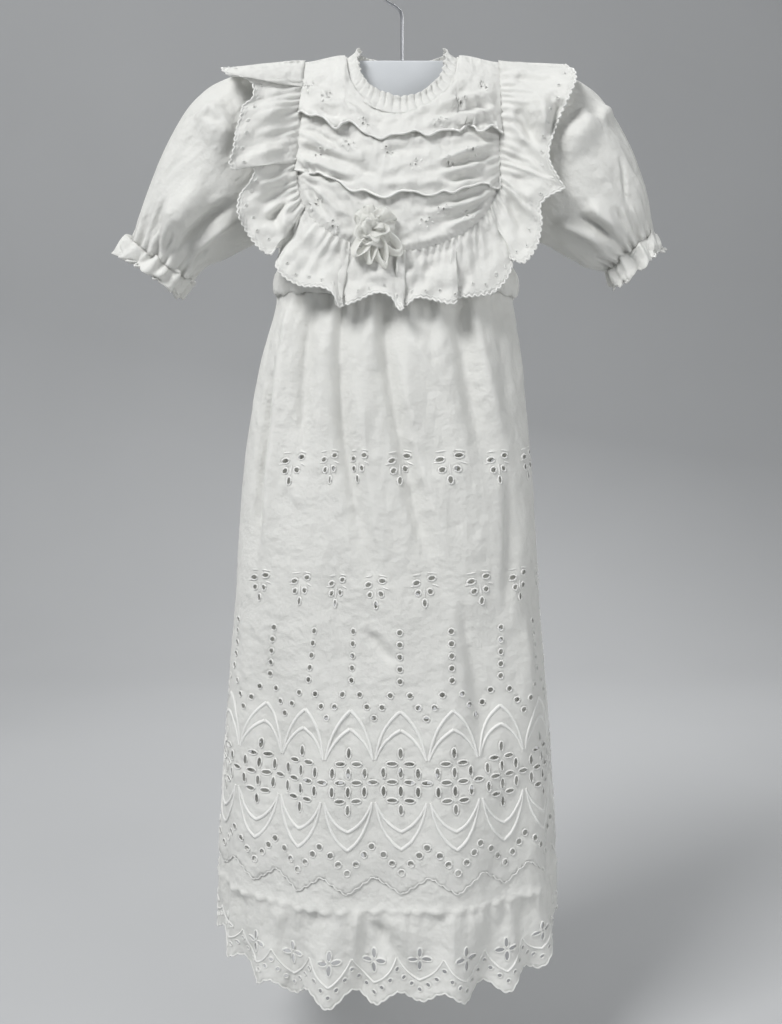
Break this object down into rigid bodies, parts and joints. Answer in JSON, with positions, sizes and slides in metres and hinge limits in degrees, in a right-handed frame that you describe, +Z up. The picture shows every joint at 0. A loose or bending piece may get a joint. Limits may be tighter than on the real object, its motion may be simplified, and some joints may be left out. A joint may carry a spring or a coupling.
{
  "type": "christening gown on a hanger",
  "caption": "Long white cotton christening gown with eyelet embroidery, tiered yoke, ruffle, puff sleeves, ribbon rosette and scalloped flounce, hung on a plain hanger.",
  "frame": {"origin": "inside top of the hook's crook, where a rail or peg holds it", "axes": "+Z up along the hook's shank, -Y the way the gown's front faces, +X to the right as seen from the front"},
  "size_m": [0.4881, 0.2311, 0.8887],
  "materials": {
    "cotton_lawn": "matte white plain-woven cotton, lightly creased",
    "eyelet_cotton": "matte white cotton with cutwork eyelets and raised satin-stitch embroidery",
    "satin_ribbon": "white satin ribbon with a soft sheen",
    "pearl_button": "polished off-white",
    "hanger_plastic": "smooth pale grey",
    "hook_steel": "bright drawn wire"
  },
  "bodies": {
    "root": {"hanger_body": "hanger_plastic", "hanger_hook": "hook_steel", "bodice_front": "cotton_lawn", "bodice_back_left": "cotton_lawn", "bodice_back_right": "cotton_lawn", "button_1": "pearl_button", "button_2": "pearl_button", "button_3": "pearl_button", "collar": "cotton_lawn", "yoke_tier_1": "eyelet_cotton", "yoke_tier_2": "eyelet_cotton", "yoke_tier_3": "eyelet_cotton", "ruffle": "eyelet_cotton", "rosette_bud": "satin_ribbon", "rosette_loop_1": "satin_ribbon", "rosette_loop_2": "satin_ribbon", "rosette_loop_3": "satin_ribbon", "rosette_loop_4": "satin_ribbon", "rosette_loop_5": "satin_ribbon", "rosette_loop_6": "satin_ribbon", "sleeve_left": "cotton_lawn", "sleeve_right": "cotton_lawn", "cuff_frill_left": "cotton_lawn", "cuff_frill_right": "cotton_lawn", "skirt_front": "eyelet_cotton", "skirt_back": "eyelet_cotton", "flounce_front": "eyelet_cotton", "flounce_back": "eyelet_cotton"}
  },
  "joints": []
}
